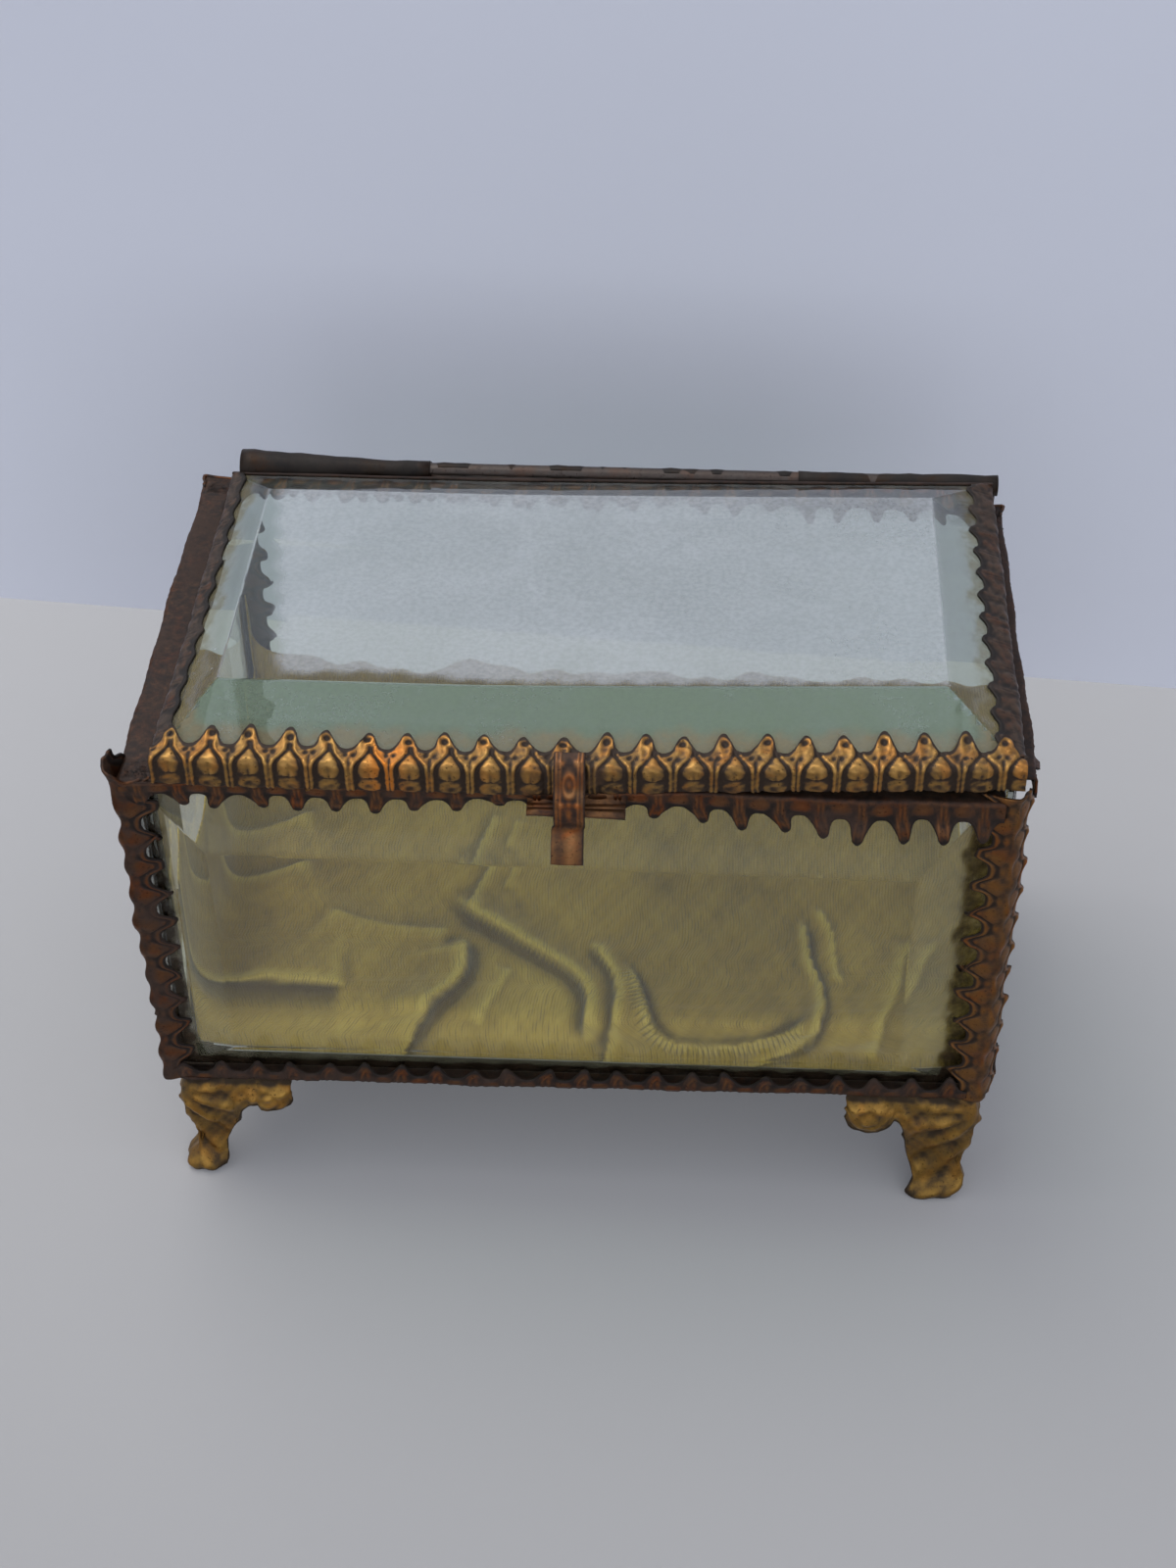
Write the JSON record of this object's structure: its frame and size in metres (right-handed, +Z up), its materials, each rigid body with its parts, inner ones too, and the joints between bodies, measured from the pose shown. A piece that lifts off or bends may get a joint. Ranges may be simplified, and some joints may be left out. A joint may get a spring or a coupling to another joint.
{
  "type": "glass casket box",
  "caption": "Small oblong glass casket with a stamped brass frame, bevelled panes, bracket feet, a rear-hinged lid with a front clasp, and a loose silk lining.",
  "frame": {"origin": "on the surface the toes stand on, under the middle of the object's bounding box", "axes": "+X to the right along the long front, -Y towards the front with the clasp, +Z up"},
  "size_m": [0.118, 0.0736, 0.0832],
  "materials": {
    "gilt_brass": "stamped, gilt, worn brown in the recesses",
    "foot_gilt": "stamped, gilt, brown patina",
    "aged_brass": "stamped, dark copper-brown patina",
    "dark_brass": "rolled, nearly black patina",
    "pin_steel": "dull wire",
    "wall_pane": "clear, ground bevels",
    "lid_pane": "clear, ground bevels, faint scratches",
    "card": "matt paper card",
    "wadding": "soft cotton wadding",
    "silk": "faded yellow-green woven silk"
  },
  "bodies": {
    "carcass": {"front_glass": "wall_pane", "rear_glass": "wall_pane", "left_glass": "wall_pane", "right_glass": "wall_pane", "floor_glass_pane": "wall_pane", "post_front_left": "aged_brass", "post_front_right": "aged_brass", "post_rear_left": "aged_brass", "post_rear_right": "aged_brass", "top_rail_front": "aged_brass", "top_rail_rear": "aged_brass", "top_rail_left": "aged_brass", "top_rail_right": "aged_brass", "bottom_rail_front": "aged_brass", "bottom_rail_rear": "aged_brass", "bottom_rail_left": "aged_brass", "bottom_rail_right": "aged_brass", "foot_front_left": "foot_gilt", "foot_front_right": "foot_gilt", "foot_rear_left": "foot_gilt", "foot_rear_right": "foot_gilt", "hinge_tube_left": "dark_brass", "hinge_tube_right": "dark_brass", "hinge_pin": "pin_steel", "catch_tube": "aged_brass", "cushion_board": "card", "cushion_wadding": "wadding", "silk_lining": "silk"},
    "lid": {"lid_glass": "lid_pane", "lid_strip_front": "gilt_brass", "lid_strip_rear": "aged_brass", "lid_strip_left": "aged_brass", "lid_strip_right": "aged_brass", "hinge_tube_lid": "dark_brass", "clasp_root": "gilt_brass"},
    "clasp": {"clasp_tongue": "gilt_brass"}
  },
  "joints": [
    {"name": "lid_hinge", "type": "hinge", "parent": "carcass", "child": "lid", "pos_m": [0, 0.03403, 0.0791], "axis": [-1, 0, 0], "range_deg": [0, 110]},
    {"name": "clasp_spring", "type": "hinge", "parent": "lid", "child": "clasp", "pos_m": [0, -0.03289, 0.07878], "axis": [-1, 0, 0], "range_deg": [0, 12], "stiffness_Nm_per_rad": 0.05}
  ]
}
